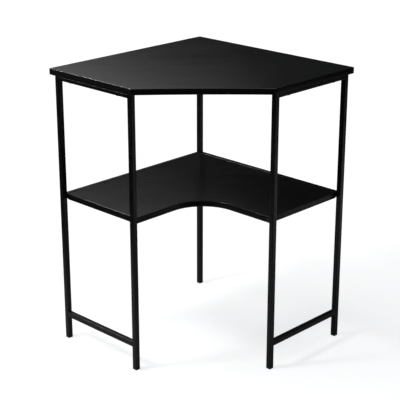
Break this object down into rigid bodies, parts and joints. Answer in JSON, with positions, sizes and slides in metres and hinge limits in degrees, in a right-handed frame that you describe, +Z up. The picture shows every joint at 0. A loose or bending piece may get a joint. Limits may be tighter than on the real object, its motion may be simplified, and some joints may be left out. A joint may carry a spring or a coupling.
{
  "type": "corner desk",
  "caption": "Black corner desk: a five-sided wood-grain top with a cut front on slender square-tube legs, with an L-shaped shelf at mid height and low end stretchers.",
  "frame": {"origin": "on the floor, at the centre of the desk's footprint box", "axes": "+Z up. The room's corner is at -X +Y: the left wall lies along the plane x = -0.276 and the back wall along y = +0.276. The person sits on the diagonal, towards +X -Y, and the cut front edge faces that way"},
  "size_m": [0.552, 0.552, 0.75],
  "materials": {
    "black_board": "particle board faced with satin black wood-grain laminate, edges banded to match",
    "black_powder_coat": "satin black powder coat on thin-walled steel tube",
    "black_plastic": "moulded matt black plastic",
    "blackened_steel": "blackened steel fixings"
  },
  "bodies": {
    "root": {"corner_leg": "black_powder_coat", "corner_leg_foot_cap": "black_plastic", "corner_leg_plate": "black_powder_coat", "corner_plate_screw_1": "blackened_steel", "corner_plate_screw_2": "blackened_steel", "corner_shelf": "black_board", "left_frame_bolt": "blackened_steel", "left_front_leg": "black_powder_coat", "left_front_leg_foot_cap": "black_plastic", "left_rail_plug": "blackened_steel", "left_shelf_pin": "blackened_steel", "left_shelf_rail": "black_powder_coat", "left_shelf_screw_1": "blackened_steel", "left_shelf_screw_2": "blackened_steel", "left_stretcher": "black_powder_coat", "left_top_rail": "black_powder_coat", "left_top_screw_1": "blackened_steel", "left_top_screw_2": "blackened_steel", "left_wall_leg": "black_powder_coat", "left_wall_leg_foot_cap": "black_plastic", "right_frame_bolt": "blackened_steel", "right_front_leg": "black_powder_coat", "right_front_leg_foot_cap": "black_plastic", "right_rail_plug": "blackened_steel", "right_shelf_pin": "blackened_steel", "right_shelf_rail": "black_powder_coat", "right_shelf_screw_1": "blackened_steel", "right_shelf_screw_2": "blackened_steel", "right_stretcher": "black_powder_coat", "right_top_rail": "black_powder_coat", "right_top_screw_1": "blackened_steel", "right_top_screw_2": "blackened_steel", "right_wall_leg": "black_powder_coat", "right_wall_leg_foot_cap": "black_plastic", "tabletop": "black_board"}
  },
  "joints": []
}
